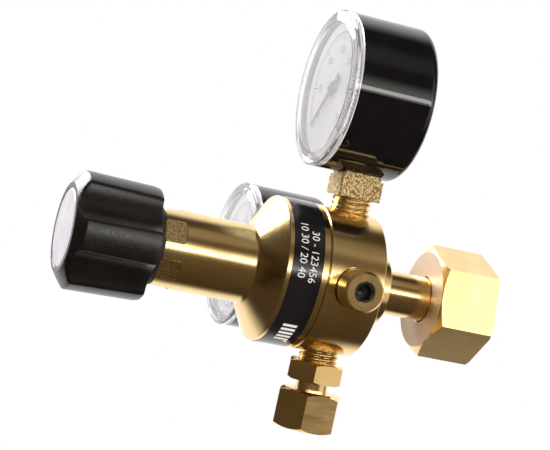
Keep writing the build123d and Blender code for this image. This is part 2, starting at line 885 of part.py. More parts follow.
def gauge_pointer(face, side):
    lean = radians(90 + POINTER_TURN)
    with BuildPart() as pointer:
        with BuildSketch(face.offset(DIAL_DEPTH + 0.8)):
            Circle(2.3)
            with BuildLine():
                across = (-sin(lean), cos(lean))
                along = (cos(lean), sin(lean))
                Polyline(
                    (1.1 * across[0] - 6 * along[0], 1.1 * across[1] - 6 * along[1]),
                    (0.25 * across[0] + 17 * along[0], 0.25 * across[1] + 17 * along[1]),
                    (-0.25 * across[0] + 17 * along[0], -0.25 * across[1] + 17 * along[1]),
                    (-1.1 * across[0] - 6 * along[0], -1.1 * across[1] - 6 * along[1]),
                    close=True,
                )
            make_face()
        extrude(amount=0.4)
        cylinder(face.offset(DIAL_DEPTH + 0.3), 1.0, 1.6)
        cylinder(face.offset(DIAL_DEPTH + 0.2), ARBOR_R + 0.02, 1.2, Mode.SUBTRACT)
    save(pointer, f"{side}_gauge_pointer")


def gauge_socket(face, side):
    """Square wrench block with the port thread below and the movement's block inside the case."""
    with BuildPart() as socket:
        with BuildSketch(gauge_stem_plane(face, SQUARE_END)):
            RectangleRounded(SQUARE_SIDE, SQUARE_SIDE, 0.6, rotation=SQUARE_TURN)
        extrude(amount=SQUARE_TOP - SQUARE_END)
        cylinder(gauge_stem_plane(face, GAUGE_THREAD_END), PORT_THREAD_R, SQUARE_END - GAUGE_THREAD_END)
        with BuildSketch(gauge_stem_plane(face, SQUARE_TOP)):
            Rectangle(12.0, 12.0)
        extrude(amount=10.5)
        cylinder(gauge_stem_plane(face, GAUGE_THREAD_END), 1.3, 22, Mode.SUBTRACT)
        chamfer(socket.faces().sort_by(Axis(face.origin, face.y_dir))[0].edges().sort_by(SortBy.LENGTH)[-1], 0.7)
    save(socket, f"{side}_gauge_socket")


def gauge_tube(face, side):
    """Bourdon tube: a flattened tube bent into a C from the socket's block round to its free tip."""
    start = -76.0
    with BuildPart() as tube:
        with BuildLine(face.offset(-11.0)) as route:
            CenterArc((0, 0), TUBE_ARC_R, start, 256)
        with BuildSketch(Plane(origin=route.line @ 0, x_dir=face.z_dir, z_dir=route.line % 0)):
            RectangleRounded(6.0, 1.8, 0.8)
            RectangleRounded(5.4, 1.1, 0.5, mode=Mode.SUBTRACT)
        sweep()
    save(tube, f"{side}_gauge_bourdon_tube")


def gauge_movement(face, side):
    """Two plates on posts that carry the sector's and the pointer's arbors."""
    back = GEAR_DEPTH - 1.5
    with BuildPart() as frame:
        for height in (back, GEAR_DEPTH + GEAR_THICKNESS + 0.7):
            with BuildSketch(face.offset(height)):
                with Locations((0, -SECTOR_REACH / 2)):
                    RectangleRounded(9.0, SECTOR_REACH + 6.0, 1.5)
                with Locations((0, 0), (0, -SECTOR_REACH)):
                    Circle(ARBOR_R + 0.05, mode=Mode.SUBTRACT)
            extrude(amount=0.7)
        with BuildSketch(face.offset(back)):
            with Locations((3.4, -SECTOR_REACH - 2), (-3.4, -SECTOR_REACH - 2), (-3.4, 2.2), (3.4, 2.2)):
                Circle(0.7)
        extrude(amount=GEAR_DEPTH + GEAR_THICKNESS + 0.7 - back)
    save(frame, f"{side}_gauge_movement_plates")


def tooth(radius, lean):
    """Slim straight-sided gear tooth on a pitch circle, inside an open sketch."""
    root_r = radius - 1.2 * GEAR_MODULE
    tip_r = radius + 0.8 * GEAR_MODULE
    half = 0.5 * GEAR_MODULE
    across = (-sin(lean), cos(lean))
    along = (cos(lean), sin(lean))
    corners = [(root_r - 0.1, half * 1.3), (tip_r, half * 0.6), (tip_r, -half * 0.6), (root_r - 0.1, -half * 1.3)]
    return [(r * along[0] + w * across[0], r * along[1] + w * across[1]) for r, w in corners]


def gauge_pinion(face, side):
    radius = GEAR_MODULE * PINION_TEETH / 2
    with BuildPart() as pinion:
        with BuildSketch(face.offset(GEAR_DEPTH)):
            Circle(radius - 1.2 * GEAR_MODULE)
            for step in range(PINION_TEETH):
                with BuildLine():
                    Polyline(*tooth(radius, radians(90 + 360 / PINION_TEETH * step)), close=True)
                make_face()
        extrude(amount=GEAR_THICKNESS)
        cylinder(face.offset(GEAR_DEPTH - 2.2), ARBOR_R, DIAL_DEPTH + 0.9 - GEAR_DEPTH + 2.2)
    save(pinion, f"{side}_gauge_pinion")


def gauge_sector(face, side):
    """Toothed sector on its own arbor below the pointer's, with a short tail."""
    radius = GEAR_MODULE * SECTOR_TEETH_FULL / 2
    step_angle = 360 / SECTOR_TEETH_FULL
    pivot = Plane(origin=face.origin - face.y_dir * SECTOR_REACH, x_dir=face.x_dir, z_dir=face.z_dir)
    half_turn = radians(step_angle * (SECTOR_TEETH_CUT / 2 + 0.5))
    lean = radians(90 - SECTOR_LEAN)
    rim_r = radius - 1.2 * GEAR_MODULE
    with BuildPart() as sector:
        with BuildSketch(pivot.offset(GEAR_DEPTH)):
            with BuildLine():
                first = (rim_r * cos(lean - half_turn), rim_r * sin(lean - half_turn))
                middle = (rim_r * cos(lean), rim_r * sin(lean))
                last = (rim_r * cos(lean + half_turn), rim_r * sin(lean + half_turn))
                ThreePointArc(first, middle, last)
                Line(last, (0, 0))
                Line((0, 0), first)
            make_face()
            Circle(1.8)
            for step in range(SECTOR_TEETH_CUT):
                turn = lean + radians(step_angle * (step - (SECTOR_TEETH_CUT - 1) / 2))
                with BuildLine():
                    Polyline(*tooth(radius, turn), close=True)
                make_face()
        extrude(amount=GEAR_THICKNESS)
        cylinder(pivot.offset(GEAR_DEPTH - 2.2), ARBOR_R, GEAR_THICKNESS + 4.4)
    save(sector, f"{side}_gauge_sector")


for maker in (
    regulator_body,
    bonnet,
    label_band,
    bonnet_dust_ring,
    knob,
    knob_cap,
    knob_insert,
    knob_screw,
    adjusting_screw,
    thrust_ball,
    upper_spring_button,
    main_spring,
    lower_spring_plate,
    slip_ring,
    diaphragm,
    diaphragm_plate,
    valve_pin,
    valve_seat,
    poppet_seal,
    valve_poppet,
    valve_spring,
    valve_retainer,
    inlet_nipple,
    inlet_filter,
    inlet_seal,
    nut_slip_washer,
    union_nut,
    relief_housing,
    relief_seal,
    relief_adjuster,
    relief_spring,
    relief_poppet,
    outlet_union,
    flow_orifice,
    outlet_nipple,
    outlet_nut,
):
    maker()

for side, up in (("top", (0, 0, 1)), ("back", (0, 1, 0))):
    face = gauge_face(up)
    for maker in (
        gauge_case,
        gauge_blowout_disc,
        gauge_lens,
        gauge_dial,
        gauge_pointer,
        gauge_socket,
        gauge_tube,
        gauge_movement,
        gauge_pinion,
        gauge_sector,
    ):
        maker(face, side)
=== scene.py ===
"""Looks of the gas regulator: brass, knob, label band, gauges and their dials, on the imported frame.

Metres. +X runs along the main axis from the knob to the cylinder nut, and +Z points at the top gauge.
"""

from math import cos, pi, radians, sin, sqrt

import bmesh
import bpy
from mathutils import Matrix, Vector


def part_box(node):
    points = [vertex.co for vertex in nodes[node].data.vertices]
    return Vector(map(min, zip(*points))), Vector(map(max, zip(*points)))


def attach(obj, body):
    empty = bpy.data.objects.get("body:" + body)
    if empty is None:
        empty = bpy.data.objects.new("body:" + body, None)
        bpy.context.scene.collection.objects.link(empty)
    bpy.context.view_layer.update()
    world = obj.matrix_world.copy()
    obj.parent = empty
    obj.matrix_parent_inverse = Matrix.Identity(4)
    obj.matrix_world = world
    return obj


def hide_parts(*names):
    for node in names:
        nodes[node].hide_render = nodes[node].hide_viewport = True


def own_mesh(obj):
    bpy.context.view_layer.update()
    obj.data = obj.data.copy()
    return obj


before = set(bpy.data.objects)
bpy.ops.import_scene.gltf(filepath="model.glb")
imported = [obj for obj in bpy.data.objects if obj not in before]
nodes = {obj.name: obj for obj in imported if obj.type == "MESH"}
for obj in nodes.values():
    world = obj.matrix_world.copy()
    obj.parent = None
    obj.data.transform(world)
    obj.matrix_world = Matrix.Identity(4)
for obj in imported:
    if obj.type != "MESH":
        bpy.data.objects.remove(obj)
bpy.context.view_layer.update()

MM = 0.001
AXIS_X = Vector((1, 0, 0))
GAUGES = {"top": Vector((0, 0, 1)), "back": Vector((0, 1, 0))}


# ---------------------------------------------------------------- meshes


def add_mesh(name, points, faces, smooth_angle=35.0):
    """A mesh object in the row frame, with edges sharper than smooth_angle kept crisp."""
    mesh = bpy.data.meshes.new(name)
    mesh.from_pydata([tuple(p) for p in points], [], faces)
    tidy = bmesh.new()
    tidy.from_mesh(mesh)
    bmesh.ops.remove_doubles(tidy, verts=tidy.verts, dist=1e-7)
    bmesh.ops.recalc_face_normals(tidy, faces=tidy.faces)
    tidy.to_mesh(mesh)
    tidy.free()
    mesh.shade_smooth()
    mesh.set_sharp_from_angle(angle=radians(smooth_angle))
    piece = bpy.data.objects.new(name, mesh)
    bpy.context.scene.collection.objects.link(piece)
    return piece


def rings_mesh(name, rings, closed_ends=True, smooth_angle=35.0):
    """Joins rings of points, each as long as the next, into one skin."""
    count = len(rings[0])
    points = [p for ring in rings for p in ring]
    faces = []
    for row in range(len(rings) - 1):
        for i in range(count):
            j = (i + 1) % count
            faces.append((row * count + i, row * count + j, (row + 1) * count + j, (row + 1) * count + i))
    if closed_ends:
        faces.append(tuple(range(count)))
        faces.append(tuple((len(rings) - 1) * count + i for i in range(count)))
    return add_mesh(name, points, faces, smooth_angle)


def axis_frame(direction):
    """Two unit vectors square to a direction."""
    way = Vector(direction).normalized()
    side = way.cross(Vector((0, 0, 1))) if abs(way.z) < 0.9 else way.cross(Vector((0, 1, 0)))
    side.normalize()
    return way, side, way.cross(side)


# ---------------------------------------------------------------- materials


class Paint:
    """One procedural material, built node by node."""

    def __init__(self, name, **values):
        self.material = bpy.data.materials.new(name)
        self.material.use_nodes = True
        self.tree = self.material.node_tree
        self.shader = next(n for n in self.tree.nodes if n.type == "BSDF_PRINCIPLED")
        for key, value in values.items():
            self.shader.inputs[key.replace("_", " ")].default_value = value
        coordinates = self.add("ShaderNodeTexCoord").outputs
        self.place = coordinates["Object"]
        self.normal = coordinates["Normal"]

    def add(self, kind, links=(), **settings):
        node = self.tree.nodes.new(kind)
        for key, value in settings.items():
            if hasattr(node, key):
                setattr(node, key, value)
            else:
                node.inputs[key.replace("_", " ")].default_value = value
        for name, source in dict(links).items():
            self.link(source, node.inputs[name])
        return node

    def link(self, source, target):
        self.tree.links.new(source, target)

    def stretched(self, scale):
        """Object coordinates stretched by a scale for each axis."""
        return self.add("ShaderNodeMapping", {"Vector": self.place}, Scale=scale).outputs["Vector"]

    def noise(self, scale, detail=4.0, stretch=(1, 1, 1), roughness=0.5):
        where = self.stretched(stretch)
        node = self.add("ShaderNodeTexNoise", {"Vector": where}, Scale=scale, Detail=detail, Roughness=roughness)
        return node.outputs["Fac"]

    def ramp(self, source, stops):
        node = self.add("ShaderNodeValToRGB", {"Fac": source})
        points = node.color_ramp.elements
        while len(points) < len(stops):
            points.new(0.5)
        for point, (where, colour) in zip(points, stops):
            point.position = where
            point.color = (*colour, 1) if len(colour) == 3 else colour
        return node.outputs["Color"]

    def span(self, source, low, high):
        """Maps 0..1 noise onto low..high."""
        node = self.add("ShaderNodeMapRange", {"Value": source})
        node.inputs["From Min"].default_value = 0.3
        node.inputs["From Max"].default_value = 0.7
        node.inputs["To Min"].default_value = low
        node.inputs["To Max"].default_value = high
        return node.outputs["Result"]

    def math(self, operation, first, second=0.0):
        node = self.add("ShaderNodeMath", operation=operation)
        for slot, value in zip(node.inputs, (first, second)):
            if isinstance(value, (int, float)):
                slot.default_value = value
            else:
                self.link(value, slot)
        return node.outputs[0]

    def mix(self, factor, first, second):
        node = self.add("ShaderNodeMix", data_type="RGBA")
        self.link(factor, node.inputs["Factor"])
        for key, value in (("A", first), ("B", second)):
            target = next(i for i in node.inputs if i.name == key and i.type == "RGBA")
            if isinstance(value, tuple):
                target.default_value = (*value, 1)
            else:
                self.link(value, target)
        return next(o for o in node.outputs if o.type == "RGBA")

    def bump(self, height, strength, distance, normal=None):
        node = self.add("ShaderNodeBump", {"Height": height}, Strength=strength, Distance=distance)
        if normal is not None:
            self.link(normal, node.inputs["Normal"])
        return node.outputs["Normal"]

    def give(self, key, source):
        self.link(source, self.shader.inputs[key])


def brass(name, light, dark, low_rough, high_rough, lines=(1, 1, 1), line_bump=0.0, lumps=0.0):
    """Bare brass: tarnish clouds, tool or drawing lines along one stretch, and fine lumps where it is cast."""
    paint = Paint(name, Metallic=1.0)
    clouds = paint.noise(90.0, 5.0)
    paint.give("Base Color", paint.ramp(clouds, [(0.3, dark), (0.7, light)]))
    fine = paint.noise(900.0, 3.0, lines)
    smear = paint.noise(260.0, 3.0, lines)
    both = paint.math("MULTIPLY", paint.math("ADD", fine, smear), 0.5)
    paint.give("Roughness", paint.span(both, low_rough, high_rough))
    normal = None
    if line_bump:
        normal = paint.bump(fine, line_bump, 0.00003)
    if lumps:
        normal = paint.bump(paint.noise(1500.0, 2.0), lumps, 0.00012, normal)
    if normal is not None:
        paint.give("Normal", normal)
    return paint


def dress(material, *names):
    """Gives CAD nodes one material over their whole mesh."""
    for name in names:
        piece = nodes[name]
        piece.data.materials.clear()
        piece.data.materials.append(material)
        for face in piece.data.polygons:
            face.material_index = 0


def add_piece(piece, material, body):
    """Paints a new piece and puts it on its body and material slot."""
    piece.data.materials.append(material)
    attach(piece, body)
    return piece


BRASS_LIGHT = (0.86, 0.66, 0.33)
BRASS_DARK = (0.76, 0.53, 0.22)

turned_brass = brass("turned_brass", BRASS_LIGHT, BRASS_DARK, 0.14, 0.22, (14, 0.5, 0.5), 0.1)
drawn_brass = brass("drawn_brass", (0.88, 0.65, 0.31), (0.78, 0.54, 0.22), 0.15, 0.24, (0.25, 2, 2), 0.03)
plain_brass = brass("plain_brass", (0.84, 0.64, 0.32), (0.70, 0.50, 0.22), 0.2, 0.34, (1, 1, 1), 0.1)


def rough_spots(paint, where, darkest, depth_scale):
    """Coarse pitted grain on the base colour and normal, only where a 0..1 mask says so."""
    grain = paint.noise(1700.0, 2.0)
    pits = paint.ramp(grain, [(0.42, darkest), (0.60, (0.80, 0.62, 0.32))])
    smooth = paint.shader.inputs["Base Color"].links[0].from_socket
    paint.give("Base Color", paint.mix(where, smooth, pits))
    rough = paint.shader.inputs["Roughness"].links[0].from_socket
    paint.give("Roughness", paint.math("ADD", rough, paint.math("MULTIPLY", where, 0.2)))
    depth = paint.math("MULTIPLY", grain, where)
    before = paint.shader.inputs["Normal"].links[0].from_socket
    paint.give("Normal", paint.bump(depth, 0.9, depth_scale, before))
    return paint


def whole(paint):
    """A mask of one everywhere, with a faint cloud in it."""
    return paint.span(paint.noise(200.0, 2.0), 0.9, 1.0)


def flats_mask(paint):
    """One on the six wrench flats behind the knob: near the tube's end and inside its round radius."""
    apart = paint.add("ShaderNodeSeparateXYZ", {"Vector": paint.place}).outputs
    across = paint.math("MULTIPLY", apart["Y"], apart["Y"])
    upright = paint.math("MULTIPLY", apart["Z"], apart["Z"])
    reach = paint.math("SQRT", paint.math("ADD", across, upright))
    inside = paint.math("LESS_THAN", reach, TUBE_R - 0.05 * MM)
    near = paint.math("LESS_THAN", apart["X"], FLATS_END_X)
    beyond = paint.math("GREATER_THAN", reach, 11.0 * MM)
    return paint.math("MULTIPLY", paint.math("MULTIPLY", inside, near), beyond)


def faced_end(paint):
    """Turning rings, a duller finish, and a pinker, paler colour painted on the end face that looks towards -X as
    a painted reflection of warm light.
    """
    facing = paint.add("ShaderNodeSeparateXYZ", {"Vector": paint.normal}).outputs["X"]
    end = paint.math("LESS_THAN", facing, -0.9)
    apart = paint.add("ShaderNodeSeparateXYZ", {"Vector": paint.place}).outputs
    across = paint.math("MULTIPLY", apart["Y"], apart["Y"])
    upright = paint.math("MULTIPLY", apart["Z"], apart["Z"])
    reach = paint.math("SQRT", paint.math("ADD", across, upright))
    wave = paint.math("SINE", paint.math("MULTIPLY", reach, 2 * pi / (0.35 * MM)))
    rings = paint.math("ADD", paint.math("MULTIPLY", wave, 0.35), paint.noise(500.0, 3.0))
    # Painted reflection: this pinker, paler end-face colour stands in for warm light reflected by the face; the
    # turning rings in it are real.
    painted_reflection_tint = paint.ramp(rings, [(0.2, (0.86, 0.66, 0.48)), (0.8, (0.98, 0.80, 0.63))])
    smooth = paint.shader.inputs["Base Color"].links[0].from_socket
    paint.give("Base Color", paint.mix(end, smooth, painted_reflection_tint))
    rough = paint.shader.inputs["Roughness"].links[0].from_socket
    paint.give("Roughness", paint.math("ADD", rough, paint.math("MULTIPLY", end, 0.32)))
    return paint


TUBE_R = 12.5 * MM
FLATS_END_X = -93.0 * MM
cast_brass = brass("cast_brass", (0.84, 0.64, 0.34), (0.72, 0.52, 0.25), 0.26, 0.4, (1, 1, 1), 0.1)
rough_spots(cast_brass, whole(cast_brass), (0.20, 0.13, 0.05), 0.18 * MM)
bonnet_brass = brass("bonnet_brass", BRASS_LIGHT, BRASS_DARK, 0.14, 0.22, (14, 0.5, 0.5), 0.1)
rough_spots(bonnet_brass, flats_mask(bonnet_brass), (0.46, 0.33, 0.15), 0.07 * MM)

dress(
    turned_brass.material,
    "regulator_body", "inlet_nipple", "relief_housing", "outlet_nipple",
)
dress(bonnet_brass.material, "bonnet")
nut_brass = brass("nut_brass", (0.87, 0.66, 0.31), (0.77, 0.54, 0.22), 0.15, 0.24, (0.25, 2, 2), 0.03)
# The nut's -X end face gets turning rings and a painted reflection tint.
faced_end(nut_brass)

dress(drawn_brass.material, "outlet_union", "outlet_nut")
dress(nut_brass.material, "union_nut")
dress(
    plain_brass.material,
    "knob_insert", "diaphragm_plate", "valve_seat", "valve_poppet", "valve_retainer",
    "relief_poppet", "flow_orifice", "inlet_filter",
)
for side in GAUGES:
    dress(cast_brass.material, f"{side}_gauge_socket")
    dress(
        plain_brass.material,
        f"{side}_gauge_bourdon_tube", f"{side}_gauge_movement_plates", f"{side}_gauge_sector",
    )


def steel_paint():
    paint = Paint("steel", Metallic=1.0)
    fine = paint.noise(700.0, 4.0)
    paint.give("Base Color", paint.ramp(fine, [(0.3, (0.45, 0.45, 0.46)), (0.7, (0.66, 0.66, 0.67))]))
    paint.give("Roughness", paint.span(fine, 0.22, 0.38))
    return paint.material


def rubber_paint():
    paint = Paint("black_rubber")
    fine = paint.noise(800.0, 4.0)
    paint.give("Base Color", paint.ramp(fine, [(0.3, (0.008, 0.008, 0.009)), (0.7, (0.022, 0.021, 0.021))]))
    paint.give("Roughness", paint.span(fine, 0.45, 0.65))
    paint.give("Normal", paint.bump(fine, 0.2, 0.00005))
    return paint.material


def plastic_paint(name, light, dark, low_rough, high_rough, grain, bump):
    paint = Paint(name)
    fine = paint.noise(grain, 5.0)
    clouds = paint.noise(120.0, 3.0)
    paint.give("Base Color", paint.ramp(clouds, [(0.3, dark), (0.7, light)]))
    paint.give("Roughness", paint.span(fine, low_rough, high_rough))
    paint.give("Normal", paint.bump(fine, bump, 0.00003))
    return paint.material


def lens_paint():
    paint = Paint("clear_lens", Transmission_Weight=0.9, IOR=1.47)
    clouds = paint.noise(160.0, 3.0)
    paint.give("Base Color", paint.ramp(clouds, [(0.2, (0.97, 0.975, 0.985)), (0.8, (0.99, 0.99, 0.995))]))
    paint.give("Roughness", paint.span(paint.noise(300.0, 3.0), 0.0, 0.03))
    return paint.material


steel = steel_paint()
black_steel = plastic_paint("black_steel", (0.012, 0.010, 0.009), (0.005, 0.004, 0.004), 0.35, 0.5, 900.0, 0.1)
rubber = rubber_paint()
knob_plastic = plastic_paint("knob_plastic", (0.009, 0.007, 0.007), (0.004, 0.003, 0.003), 0.25, 0.36, 1400.0, 0.1)
case_paint = plastic_paint("case_enamel", (0.006, 0.006, 0.007), (0.003, 0.003, 0.004), 0.015, 0.04, 300.0, 0.01)
dial_paint = plastic_paint("dial_white", (0.94, 0.93, 0.98), (0.90, 0.89, 0.95), 0.4, 0.55, 900.0, 0.05)
dial_ink = plastic_paint("dial_ink", (0.02, 0.02, 0.025), (0.01, 0.01, 0.012), 0.4, 0.5, 900.0, 0.05)
dial_red = plastic_paint("dial_red", (0.55, 0.03, 0.02), (0.45, 0.02, 0.02), 0.4, 0.5, 900.0, 0.05)
nylon = plastic_paint("nylon", (0.80, 0.78, 0.72), (0.72, 0.70, 0.64), 0.35, 0.5, 900.0, 0.1)
fibre = plastic_paint("seal_fibre", (0.30, 0.09, 0.06), (0.20, 0.06, 0.04), 0.6, 0.75, 900.0, 0.3)
band_paint = plastic_paint("band_black", (0.012, 0.011, 0.012), (0.006, 0.006, 0.007), 0.12, 0.2, 700.0, 0.05)
band_ink = plastic_paint("band_white", (0.85, 0.85, 0.86), (0.78, 0.78, 0.8), 0.3, 0.4, 900.0, 0.05)
lens_clear = lens_paint()


def cap_paint():
    """Pale spun foil: soft pearly clouds and mottled roughness."""
    paint = Paint("cap_foil", Metallic=0.75)
    clouds = paint.noise(140.0, 3.0)
    paint.give("Base Color", paint.ramp(clouds, [(0.3, (0.60, 0.58, 0.63)), (0.7, (0.74, 0.72, 0.77))]))
    paint.give("Roughness", paint.span(paint.noise(600.0, 3.0), 0.34, 0.46))
    return paint.material


cap_foil = cap_paint()

dress(steel, "upper_spring_button", "thrust_ball", "knob_screw", "adjusting_screw", "lower_spring_plate")
dress(steel, "valve_pin", "main_spring", "valve_spring", "relief_spring")
dress(steel, "top_gauge_pinion", "back_gauge_pinion")
dress(black_steel, "relief_adjuster")
dress(rubber, "bonnet_dust_ring", "diaphragm", "relief_seal")
dress(nylon, "slip_ring", "poppet_seal", "nut_slip_washer")
dress(fibre, "inlet_seal")
dress(band_paint, "label_band")
dress(cap_foil, "knob_cap")
for side in GAUGES:
    dress(case_paint, f"{side}_gauge_case", f"{side}_gauge_blowout_disc")
    dress(dial_paint, f"{side}_gauge_dial")
    dress(dial_ink, f"{side}_gauge_pointer")
    dress(lens_clear, f"{side}_gauge_lens")


# ---------------------------------------------------------------- knob

RIDGES = 5
SCALLOP_FLOOR_R = 15.04 * MM
SCALLOP_R = 10.9 * MM
KNOB_FACE_R = 13.96 * MM
KNOB_CHAMFER = 3.0 * MM
KNOB_DRAFT = 0.7 * MM
RIDGE_SOFTNESS = 0.7 * MM
KNOB_REAR_ROUND = 0.25 * MM


def soft_least(first, second, softness):
    """The lesser of two lengths, blended where they are close."""
    share = max(softness - abs(first - second), 0.0) / softness
    return min(first, second) - share * share * softness / 4


def knob_section(angle, outer):
    """Radius of the scalloped knob at an angle about the main axis, measured from +Y towards +Z."""
    pitch = 2 * pi / RIDGES
    off = (angle + pitch / 2) % pitch - pitch / 2
    middle = SCALLOP_FLOOR_R + SCALLOP_R
    inside = SCALLOP_R**2 - (middle * sin(off)) ** 2
    if inside <= 0:
        return outer
    return soft_least(outer, middle * cos(off) - sqrt(inside), RIDGE_SOFTNESS)


def knob_grip():
    """The knob as one closed skin: recessed face, scalloped grip, rear edge and stepped bore."""
    low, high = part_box("knob")
    front, rear = low.x, high.x
    reach = max(high.y, high.z)
    room_r = 13.2 * MM
    recess_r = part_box("knob_cap")[1].y + 0.05 * MM
    recess = 1.35 * MM
    stations = [
        ("round", front + recess, 0.6 * MM),
        ("round", front + recess, recess_r),
        ("round", front + 0.15 * MM, recess_r),
        ("round", front, recess_r + 0.15 * MM),
        ("round", front, KNOB_FACE_R - 0.35 * MM),
    ]
    count = 28
    for step in range(count + 1):
        stations.append(("grip", front + (rear - front) * (step / count) ** 1.5, 0))
    for step in range(1, 6):
        lean = radians(90 * step / 5)
        stations.append(("lip", rear, KNOB_REAR_ROUND * sin(lean)))
    stations += [
        ("round", rear, room_r + 0.3 * MM),
        ("round", rear - 0.3 * MM, room_r),
        ("round", rear - 10 * MM, room_r),
        ("round", rear - 10 * MM, 7.1 * MM),
        ("round", rear - 15 * MM, 7.0 * MM),
        ("round", rear - 15 * MM, 0.6 * MM),
    ]
    steps = 240
    rings = []
    for kind, x, radius in stations:
        ring = []
        for step in range(steps):
            angle = 2 * pi * step / steps
            r = radius
            if kind != "round":
                draft = KNOB_DRAFT * (x - front) / (rear - front)
                r = knob_section(angle, reach - draft)
                cone = KNOB_FACE_R + (x - front) * (reach - KNOB_FACE_R) / KNOB_CHAMFER
                r = soft_least(r, cone, 0.35 * MM)
                nearness = max(0.0, x - (rear - KNOB_REAR_ROUND))
                r -= KNOB_REAR_ROUND - sqrt(max(0.0, KNOB_REAR_ROUND**2 - nearness**2))
                if kind == "lip":
                    r -= radius * 0.3
            ring.append((x, r * cos(angle), r * sin(angle)))
        rings.append(ring)
    return rings_mesh("knob_grip", rings, closed_ends=True, smooth_angle=40.0)


grip = knob_grip()
add_piece(grip, knob_plastic, "knob")
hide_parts("knob")


# ---------------------------------------------------------------- threads


def thread(name, origin, direction, length, pitch, root, crest, fade, steps=72):
    """A helical thread as one skin, whose ridge runs out over fade at both ends."""
    way, side, other = axis_frame(direction)
    rows = int(length / pitch * 12)
    rings = []
    for row in range(rows + 1):
        along = length * row / rows
        level = min(1.0, along / fade, (length - along) / fade)
        ring = []
        for step in range(steps):
            angle = 2 * pi * step / steps
            turn = (along / pitch - step / steps) % 1
            height = max(0.0, 1 - abs(turn - 0.5) * 2.4) * level
            radius = root + (crest - root) * height
            ring.append(Vector(origin) + way * along + (side * cos(angle) + other * sin(angle)) * radius)
        rings.append(ring)
    return rings_mesh(name, rings, closed_ends=False, smooth_angle=50.0)


PORT = Vector((-39, 0, 0)) * MM
DOWN = Vector((0, 0, -1))
FINE_PITCH = 1.5 * MM
NECK_START = 21.6 * MM
NECK_ROOT_R = 5.95 * MM
GAUGE_NECK_LENGTH = 5.9 * MM
GAUGE_NECK_CREST_R = 6.5 * MM
OUTLET_NECK_LENGTH = 4.7 * MM
OUTLET_NECK_CREST_R = 6.4 * MM
NECK_FADE = 0.5 * MM
UNION_THREAD_START = 0.4 * MM
UNION_THREAD_LENGTH = 10.0 * MM
UNION_PITCH = 1.81 * MM
UNION_ROOT_R = 12.04 * MM
UNION_CREST_R = 11.5 * MM
UNION_FADE = 1.0 * MM
OUTLET_NUT_START = 41.9 * MM
OUTLET_NUT_LENGTH = 5.6 * MM
OUTLET_NUT_ROOT_R = 7.17 * MM
OUTLET_NUT_CREST_R = 6.7 * MM
OUTLET_NUT_FADE = 0.8 * MM

for side, up in GAUGES.items():
    piece = thread(
        f"{side}_neck_thread", PORT + up * NECK_START, up,
        GAUGE_NECK_LENGTH, FINE_PITCH, NECK_ROOT_R, GAUGE_NECK_CREST_R, NECK_FADE,
    )
    add_piece(piece, plain_brass.material, "body")
piece = thread(
    "outlet_neck_thread", PORT + DOWN * NECK_START, DOWN,
    OUTLET_NECK_LENGTH, FINE_PITCH, NECK_ROOT_R, OUTLET_NECK_CREST_R, NECK_FADE,
)
add_piece(piece, plain_brass.material, "body")
piece = thread(
    "union_nut_thread", (UNION_THREAD_START, 0, 0), AXIS_X,
    UNION_THREAD_LENGTH, UNION_PITCH, UNION_ROOT_R, UNION_CREST_R, UNION_FADE, 96,
)
add_piece(piece, drawn_brass.material, "union_nut")
piece = thread(
    "outlet_nut_thread", PORT + DOWN * OUTLET_NUT_START, DOWN,
    OUTLET_NUT_LENGTH, FINE_PITCH, OUTLET_NUT_ROOT_R, OUTLET_NUT_CREST_R, OUTLET_NUT_FADE,
)
add_piece(piece, drawn_brass.material, "outlet_nut")


# ---------------------------------------------------------------- gauge dials


def gauge_map(side):
    """Centre of a gauge's axis and its right, up and outward vectors, as its reader sees them."""
    up = GAUGES[side]
    out = -AXIS_X
    low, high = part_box(f"{side}_gauge_dial")
    return (low + high) / 2, up.cross(out), up, out


def text_outline(words, size):
    """Points and faces of flat text, centred on its own origin."""
    curve = bpy.data.curves.new("words", "FONT")
    curve.body = words
    curve.size = size
    curve.align_x = "CENTER"
    curve.align_y = "CENTER"
    curve.resolution_u = 4
    holder = bpy.data.objects.new("words", curve)
    bpy.context.scene.collection.objects.link(holder)
    graph = bpy.context.evaluated_depsgraph_get()
    mesh = bpy.data.meshes.new_from_object(holder.evaluated_get(graph))
    points = [tuple(v.co) for v in mesh.vertices]
    faces = [tuple(p.vertices) for p in mesh.polygons]
    bpy.data.objects.remove(holder)
    bpy.data.curves.remove(curve)
    bpy.data.meshes.remove(mesh)
    return points, faces


class Print:
    """Flat marks gathered on a dial, as (right, up) points in metres."""

    def __init__(self):
        self.points = []
        self.faces = []

    def add(self, points, faces):
        base = len(self.points)
        self.points += points
        self.faces += [tuple(base + i for i in face) for face in faces]

    def bar(self, angle, inner, outer, width):
        """A radial bar; angle is clockwise from straight up, in degrees."""
        lean = radians(90 - angle)
        along = (cos(lean), sin(lean))
        across = (-sin(lean) * width / 2, cos(lean) * width / 2)
        corners = []
        for r, way in ((inner, 1), (outer, 1), (outer, -1), (inner, -1)):
            corners.append((along[0] * r + way * across[0], along[1] * r + way * across[1]))
        self.add(corners, [(0, 1, 2, 3)])

    def sweep(self, start, end, inner, outer, steps=60):
        """A ring segment between two clockwise angles."""
        points, faces = [], []
        for step in range(steps + 1):
            lean = radians(90 - (start + (end - start) * step / steps))
            points += [(inner * cos(lean), inner * sin(lean)), (outer * cos(lean), outer * sin(lean))]
            if step:
                base = 2 * step
                faces.append((base - 2, base - 1, base + 1, base))
        self.add(points, faces)

    def block(self, right, up, width, height):
        corners = [(right, up), (right + width, up), (right + width, up + height), (right, up + height)]
        self.add(corners, [(0, 1, 2, 3)])

    def words(self, text, size, right, up):
        points, faces = text_outline(text, size)
        self.add([(x + right, y + up) for x, y, _ in points], faces)

    def piece(self, name, centre, right, up, out, height):
        placed = [centre + right * x + up * y + out * height for x, y in self.points]
        mesh = bpy.data.meshes.new(name)
        mesh.from_pydata([tuple(p) for p in placed], [], self.faces)
        made = bpy.data.objects.new(name, mesh)
        bpy.context.scene.collection.objects.link(made)
        return made


